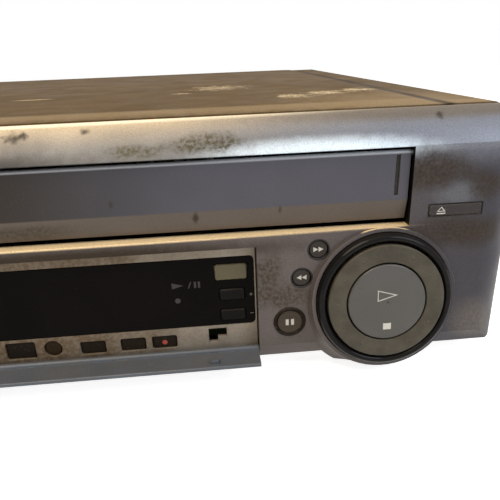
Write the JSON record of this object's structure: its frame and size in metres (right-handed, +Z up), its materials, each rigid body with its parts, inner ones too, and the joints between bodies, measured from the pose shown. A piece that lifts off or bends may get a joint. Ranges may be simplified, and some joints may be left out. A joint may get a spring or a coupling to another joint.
{
  "type": "video cassette recorder",
  "caption": "Twin-format video cassette recorder with a wide and a small cassette door, a dark display window over a drop-down flap, push keys and a large shuttle dial.",
  "frame": {"origin": "on the table under the middle of the recorder", "axes": "+X to the right as seen from the front, +Y from the front to the back, +Z up"},
  "size_m": [0.43, 0.4026, 0.114],
  "materials": {
    "cover_paint": "satin, dusty",
    "panel_plastic": "satin silver paint, worn",
    "fascia_plastic": "satin silver paint, dusty",
    "dark_plastic": "matte",
    "gloss_black": "gloss",
    "dial_plastic": "satin",
    "lit_key": "translucent",
    "window_glass": "dark, polished",
    "plain_steel": "zinc plated",
    "machined_alloy": "turned",
    "bright_steel": "plated",
    "board_laminate": "solder resist",
    "foot_rubber": "matte"
  },
  "bodies": {
    "housing": {"front_panel": "panel_plastic", "control_fascia": "fascia_plastic", "display_window": "window_glass", "display_tube": "window_glass", "front_board": "board_laminate", "dial_bezel": "gloss_black", "top_cover": "cover_paint", "chassis_pan": "plain_steel", "rear_panel": "plain_steel", "feet": "foot_rubber", "cover_screws": "bright_steel", "main_board": "board_laminate", "power_board": "board_laminate", "rear_jacks": "dark_plastic", "tuner_box": "plain_steel", "mains_inlet": "dark_plastic", "wide_capstan_motor": "plain_steel", "wide_deck_plate": "plain_steel", "wide_side_brackets": "plain_steel", "wide_drum_base": "machined_alloy", "small_deck_plate": "plain_steel", "small_side_brackets": "plain_steel", "small_drum_base": "machined_alloy"},
    "wide_door": {"wide_door": "panel_plastic"},
    "small_door": {"small_door": "panel_plastic"},
    "front_flap": {"front_flap": "panel_plastic"},
    "shuttle_ring": {"shuttle_ring": "dial_plastic"},
    "play_stop_button": {"play_stop_button": "dial_plastic"},
    "forward_button": {"forward_button": "dark_plastic"},
    "rewind_button": {"rewind_button": "dark_plastic"},
    "pause_button": {"pause_button": "dark_plastic"},
    "wide_eject_button": {"wide_eject_button": "panel_plastic"},
    "small_eject_button": {"small_eject_button": "panel_plastic"},
    "power_button": {"power_button": "panel_plastic"},
    "index_button": {"index_button": "fascia_plastic"},
    "timer_button": {"timer_button": "fascia_plastic"},
    "counter_button": {"counter_button": "fascia_plastic"},
    "input_button": {"input_button": "fascia_plastic"},
    "speed_button": {"speed_button": "fascia_plastic"},
    "record_button": {"record_button": "fascia_plastic"},
    "wide_select_button": {"wide_select_button": "lit_key"},
    "small_select_button": {"small_select_button": "lit_key"},
    "channel_up_button": {"channel_up_button": "dark_plastic"},
    "channel_down_button": {"channel_down_button": "dark_plastic"},
    "wide_slider": {"wide_slider": "plain_steel"},
    "wide_basket": {"wide_basket": "plain_steel"},
    "wide_drum_top": {"wide_drum_top": "machined_alloy"},
    "wide_supply_reel": {"wide_supply_reel": "dark_plastic"},
    "wide_takeup_reel": {"wide_takeup_reel": "dark_plastic"},
    "wide_capstan": {"wide_capstan": "bright_steel"},
    "small_slider": {"small_slider": "plain_steel"},
    "small_basket": {"small_basket": "plain_steel"},
    "small_drum_top": {"small_drum_top": "machined_alloy"},
    "small_supply_reel": {"small_supply_reel": "dark_plastic"},
    "small_takeup_reel": {"small_takeup_reel": "dark_plastic"},
    "small_capstan": {"small_capstan": "bright_steel"},
    "wide_pinch_arm": {"wide_pinch_arm": "dark_plastic"},
    "wide_pinch_roller": {"wide_pinch_roller": "foot_rubber"},
    "wide_supply_guide": {"wide_supply_guide": "machined_alloy"},
    "wide_takeup_guide": {"wide_takeup_guide": "machined_alloy"}
  },
  "joints": [
    {"name": "wide_door_swing", "type": "hinge", "parent": "housing", "child": "wide_door", "pos_m": [0.066, -0.18741, 0.0959], "axis": [1, 0, 0], "range_deg": [0, 90], "stiffness_Nm_per_rad": 0.004},
    {"name": "small_door_swing", "type": "hinge", "parent": "housing", "child": "small_door", "pos_m": [-0.113, -0.18741, 0.0959], "axis": [1, 0, 0], "range_deg": [0, 90], "stiffness_Nm_per_rad": 0.002},
    {"name": "flap_swing", "type": "hinge", "parent": "housing", "child": "front_flap", "pos_m": [-0.0038, -0.18811, 0.0123], "axis": [-1, 0, 0], "range_deg": [0, 92]},
    {"name": "shuttle_turn", "type": "hinge", "parent": "housing", "child": "shuttle_ring", "pos_m": [0.1604, -0.19867, 0.03628], "axis": [0, -0.994, 0.1097], "range_deg": [-60, 60], "stiffness_Nm_per_rad": 0.02},
    {"name": "play_stop_rock", "type": "hinge", "parent": "housing", "child": "play_stop_button", "pos_m": [0.1604, -0.19618, 0.036], "axis": [1, 0, 0], "range_deg": [-3, 3], "stiffness_Nm_per_rad": 0.4},
    {"name": "forward_press", "type": "slide", "parent": "housing", "child": "forward_button", "axis": [0, 1, 0], "range_m": [0, 0.0008], "stiffness_N_per_m": 150},
    {"name": "rewind_press", "type": "slide", "parent": "housing", "child": "rewind_button", "axis": [0, 1, 0], "range_m": [0, 0.0008], "stiffness_N_per_m": 150},
    {"name": "pause_press", "type": "slide", "parent": "housing", "child": "pause_button", "axis": [0, 1, 0], "range_m": [0, 0.0008], "stiffness_N_per_m": 150},
    {"name": "wide_eject_press", "type": "slide", "parent": "housing", "child": "wide_eject_button", "axis": [0, 1, 0], "range_m": [0, 0.0008], "stiffness_N_per_m": 150},
    {"name": "small_eject_press", "type": "slide", "parent": "housing", "child": "small_eject_button", "axis": [0, 1, 0], "range_m": [0, 0.0008], "stiffness_N_per_m": 150},
    {"name": "power_press", "type": "slide", "parent": "housing", "child": "power_button", "axis": [0, 1, 0], "range_m": [0, 0.0008], "stiffness_N_per_m": 150},
    {"name": "index_press", "type": "slide", "parent": "housing", "child": "index_button", "axis": [0, 1, 0], "range_m": [0, 0.0008], "stiffness_N_per_m": 150},
    {"name": "timer_press", "type": "slide", "parent": "housing", "child": "timer_button", "axis": [0, 1, 0], "range_m": [0, 0.0008], "stiffness_N_per_m": 150},
    {"name": "counter_press", "type": "slide", "parent": "housing", "child": "counter_button", "axis": [0, 1, 0], "range_m": [0, 0.0008], "stiffness_N_per_m": 150},
    {"name": "input_press", "type": "slide", "parent": "housing", "child": "input_button", "axis": [0, 1, 0], "range_m": [0, 0.0008], "stiffness_N_per_m": 150},
    {"name": "speed_press", "type": "slide", "parent": "housing", "child": "speed_button", "axis": [0, 1, 0], "range_m": [0, 0.0008], "stiffness_N_per_m": 150},
    {"name": "record_press", "type": "slide", "parent": "housing", "child": "record_button", "axis": [0, 1, 0], "range_m": [0, 0.0008], "stiffness_N_per_m": 150},
    {"name": "wide_select_press", "type": "slide", "parent": "housing", "child": "wide_select_button", "axis": [0, 1, 0], "range_m": [0, 0.0008], "stiffness_N_per_m": 150},
    {"name": "small_select_press", "type": "slide", "parent": "housing", "child": "small_select_button", "axis": [0, 1, 0], "range_m": [0, 0.0008], "stiffness_N_per_m": 150},
    {"name": "channel_up_press", "type": "slide", "parent": "housing", "child": "channel_up_button", "axis": [0, 1, 0], "range_m": [0, 0.0008], "stiffness_N_per_m": 150},
    {"name": "channel_down_press", "type": "slide", "parent": "housing", "child": "channel_down_button", "axis": [0, 1, 0], "range_m": [0, 0.0008], "stiffness_N_per_m": 150},
    {"name": "wide_carriage_in", "type": "slide", "parent": "housing", "child": "wide_slider", "axis": [0, 1, 0], "range_m": [0, 0.06]},
    {"name": "wide_basket_down", "type": "slide", "parent": "wide_slider", "child": "wide_basket", "axis": [0, 0, -1], "range_m": [0, 0.02]},
    {"name": "wide_drum_spin", "type": "hinge", "parent": "housing", "child": "wide_drum_top", "pos_m": [0.066, 0.05217, 0.0572], "axis": [0.1045, 0, 0.9945], "continuous": true},
    {"name": "wide_supply_reel_spin", "type": "hinge", "parent": "housing", "child": "wide_supply_reel", "pos_m": [0.02, -0.05103, 0.0372], "axis": [0, 0, 1], "continuous": true},
    {"name": "wide_takeup_reel_spin", "type": "hinge", "parent": "housing", "child": "wide_takeup_reel", "pos_m": [0.112, -0.05103, 0.0372], "axis": [0, 0, 1], "continuous": true},
    {"name": "wide_capstan_spin", "type": "hinge", "parent": "housing", "child": "wide_capstan", "pos_m": [0.122, 0.02117, 0.0372], "axis": [0, 0, 1], "continuous": true},
    {"name": "small_carriage_in", "type": "slide", "parent": "housing", "child": "small_slider", "axis": [0, 1, 0], "range_m": [0, 0.04]},
    {"name": "small_basket_down", "type": "slide", "parent": "small_slider", "child": "small_basket", "axis": [0, 0, -1], "range_m": [0, 0.02]},
    {"name": "small_drum_spin", "type": "hinge", "parent": "housing", "child": "small_drum_top", "pos_m": [-0.113, -0.02333, 0.0522], "axis": [0.1045, 0, 0.9945], "continuous": true},
    {"name": "small_supply_reel_spin", "type": "hinge", "parent": "housing", "child": "small_supply_reel", "pos_m": [-0.136, -0.0897, 0.0372], "axis": [0, 0, 1], "continuous": true},
    {"name": "small_takeup_reel_spin", "type": "hinge", "parent": "housing", "child": "small_takeup_reel", "pos_m": [-0.09, -0.0897, 0.0372], "axis": [0, 0, 1], "continuous": true},
    {"name": "small_capstan_spin", "type": "hinge", "parent": "housing", "child": "small_capstan", "pos_m": [-0.079, -0.04333, 0.0372], "axis": [0, 0, 1], "continuous": true},
    {"name": "wide_pinch_swing", "type": "hinge", "parent": "housing", "child": "wide_pinch_arm", "pos_m": [0.131, 0.04717, 0.0372], "axis": [0, 0, -1], "range_deg": [0, 20], "stiffness_Nm_per_rad": 0.01},
    {"name": "wide_pinch_roller_spin", "type": "hinge", "parent": "wide_pinch_arm", "child": "wide_pinch_roller", "pos_m": [0.13989, 0.02274, 0.0372], "axis": [0, 0, 1], "continuous": true},
    {"name": "wide_supply_guide_load", "type": "slide", "parent": "housing", "child": "wide_supply_guide", "axis": [-0.2285, 0.9735, 0], "range_m": [0, 0.05033]},
    {"name": "wide_takeup_guide_load", "type": "slide", "parent": "housing", "child": "wide_takeup_guide", "axis": [0.2285, 0.9735, 0], "range_m": [0, 0.05033]}
  ],
  "couplings": [
    {"joint": "wide_takeup_guide_load", "follows": "wide_supply_guide_load", "ratio": 1}
  ]
}
